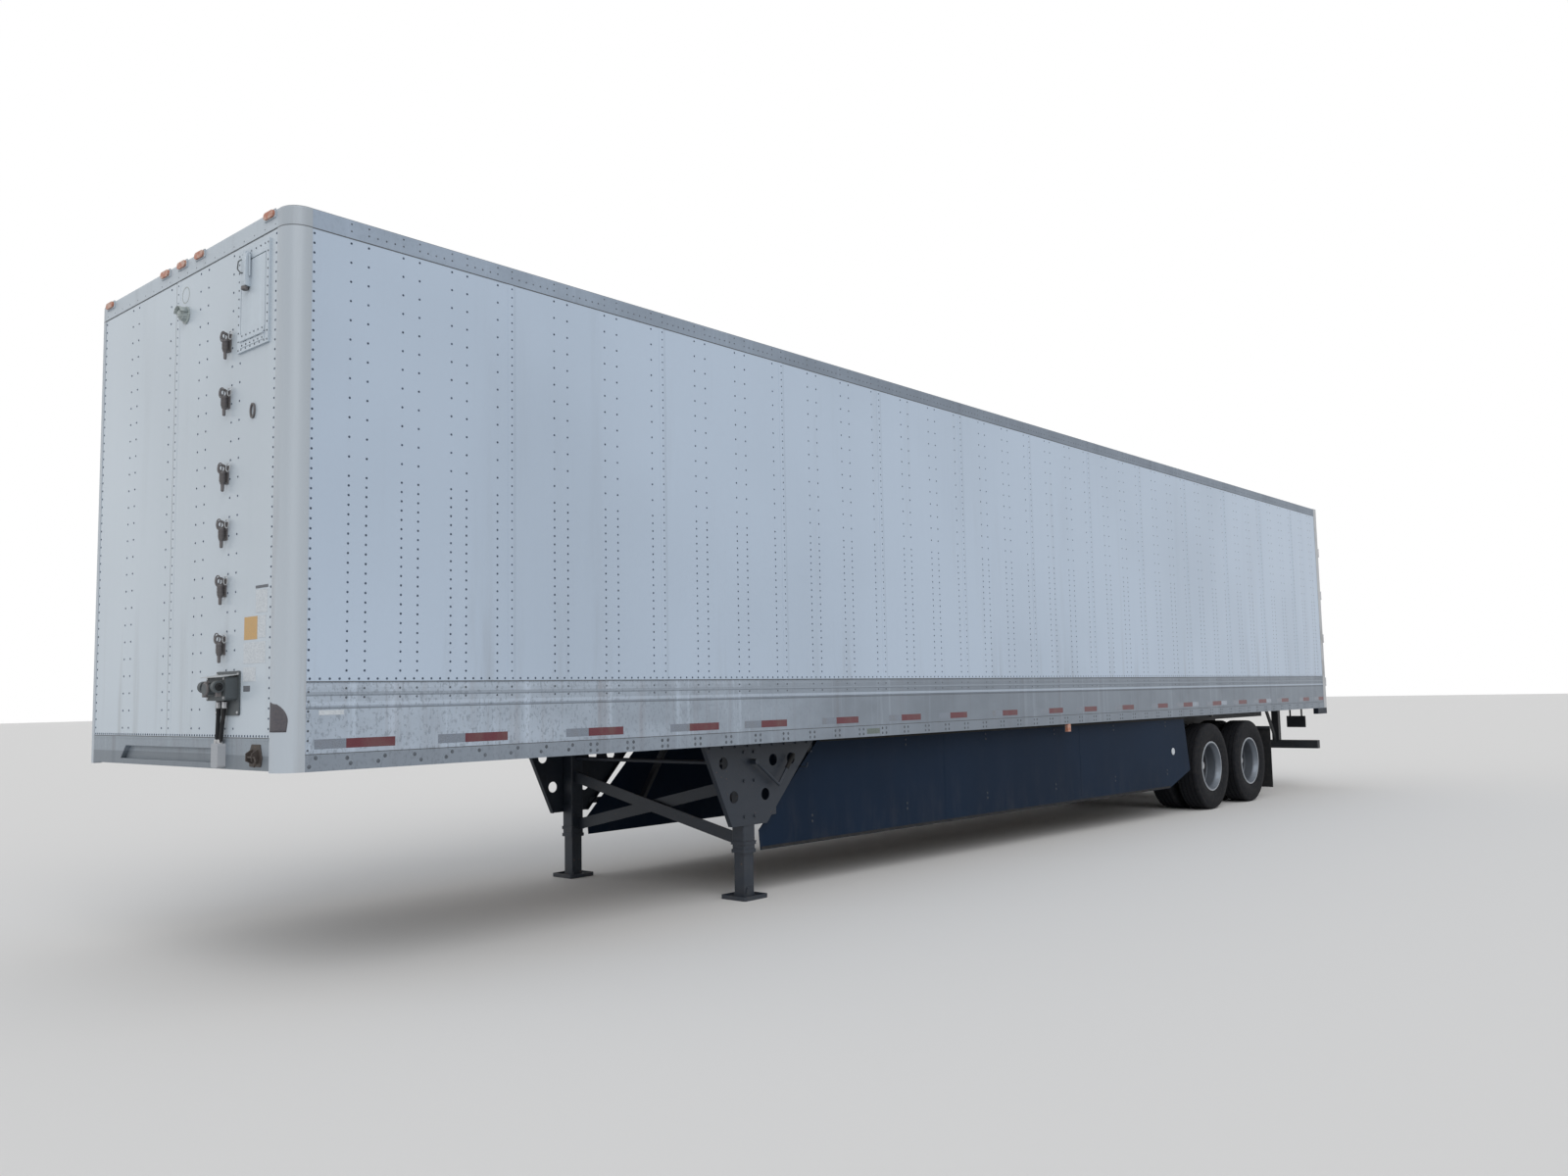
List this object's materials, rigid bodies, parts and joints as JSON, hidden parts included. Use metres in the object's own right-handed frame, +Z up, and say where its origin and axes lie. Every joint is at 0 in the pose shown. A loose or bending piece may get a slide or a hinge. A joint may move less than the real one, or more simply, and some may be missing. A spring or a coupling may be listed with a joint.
{
  "type": "semi trailer",
  "caption": "Long enclosed dry van semi trailer with rear swing doors, tandem dual-wheel bogie, side skirts, kingpin and landing gear.",
  "frame": {"origin": "on the ground, below the middle of the trailer's bounding box", "axes": "+X to the nose (the kingpin end), +Y to the trailer's left side, +Z up"},
  "size_m": [16.284, 2.591, 4.115],
  "materials": {
    "white_sheet": "gloss white, weathered",
    "rail_aluminium": "mill finish, weathered",
    "top_rail_aluminium": "dull, weathered",
    "roof_sheet": "white roof sheet",
    "floor_boards": "oiled hardwood",
    "black_steel": "dusty black chassis paint",
    "bare_steel": "greased steel",
    "galvanised_steel": "zinc plated",
    "skirt_panel": "dark navy composite",
    "tyre_rubber": "worn black",
    "rubber": "matt black",
    "wheel_aluminium": "polished, dusty",
    "hub_iron": "dusty iron, silver cap",
    "amber_lens": "amber lens",
    "red_lens": "red lens",
    "door_sheet": "gloss white"
  },
  "bodies": {
    "trailer": {"air_tanks": "black_steel", "amber_lamps": "amber_lens", "axle_front": "black_steel", "axle_rear": "black_steel", "bogie_frame": "black_steel", "bottom_rails": "rail_aluminium", "coupler": "black_steel", "crossmembers": "black_steel", "floor": "floor_boards", "kingpin": "bare_steel", "landing_crank": "black_steel", "landing_legs": "black_steel", "landing_rams": "black_steel", "leaf_springs": "black_steel", "leg_braces": "black_steel", "line_hangers": "black_steel", "mud_flaps": "rubber", "nose_box": "black_steel", "nose_hoses": "rubber", "nose_posts": "rail_aluminium", "nose_sill": "rail_aluminium", "nose_top_rail": "top_rail_aluminium", "nose_wall": "white_sheet", "plate_holder": "black_steel", "rear_frame": "galvanised_steel", "rear_guard": "black_steel", "red_lamps": "red_lens", "roof": "roof_sheet", "side_wall_left": "white_sheet", "side_wall_right": "white_sheet", "skirt_struts": "black_steel", "skirts": "skirt_panel", "slider_rails": "black_steel", "top_rails": "top_rail_aluminium", "vent_frame": "rail_aluminium", "wing_plates": "black_steel"},
    "left_door": {"rear_door_left": "door_sheet", "door_gear_left": "galvanised_steel"},
    "right_door": {"rear_door_right": "door_sheet", "door_gear_right": "galvanised_steel"},
    "vent": {"vent_door": "rail_aluminium"},
    "front_left_duals": {"tyres_front_left": "tyre_rubber", "wheels_front_left": "wheel_aluminium", "hub_front_left": "hub_iron"},
    "front_right_duals": {"tyres_front_right": "tyre_rubber", "wheels_front_right": "wheel_aluminium", "hub_front_right": "hub_iron"},
    "rear_left_duals": {"tyres_rear_left": "tyre_rubber", "wheels_rear_left": "wheel_aluminium", "hub_rear_left": "hub_iron"},
    "rear_right_duals": {"tyres_rear_right": "tyre_rubber", "wheels_rear_right": "wheel_aluminium", "hub_rear_right": "hub_iron"}
  },
  "joints": [
    {"name": "front_left_wheel_turn", "type": "hinge", "parent": "trailer", "child": "front_left_duals", "pos_m": [-3.778, 0.977, 0.52], "axis": [0, 1, 0], "continuous": true},
    {"name": "front_right_wheel_turn", "type": "hinge", "parent": "trailer", "child": "front_right_duals", "pos_m": [-3.778, -0.977, 0.52], "axis": [0, 1, 0], "continuous": true},
    {"name": "rear_left_wheel_turn", "type": "hinge", "parent": "trailer", "child": "rear_left_duals", "pos_m": [-5.023, 0.977, 0.52], "axis": [0, 1, 0], "continuous": true},
    {"name": "rear_right_wheel_turn", "type": "hinge", "parent": "trailer", "child": "rear_right_duals", "pos_m": [-5.023, -0.977, 0.52], "axis": [0, 1, 0], "continuous": true},
    {"name": "left_door_swing", "type": "hinge", "parent": "trailer", "child": "left_door", "pos_m": [-8.128, 1.2815, 2.64], "axis": [0, 0, -1], "range_deg": [0, 265]},
    {"name": "right_door_swing", "type": "hinge", "parent": "trailer", "child": "right_door", "pos_m": [-8.128, -1.2815, 2.64], "axis": [0, 0, 1], "range_deg": [0, 265]},
    {"name": "vent_swing", "type": "hinge", "parent": "trailer", "child": "vent", "pos_m": [8.027, 0.9175, 3.462], "axis": [0, 1, 0], "range_deg": [0, 170]}
  ]
}
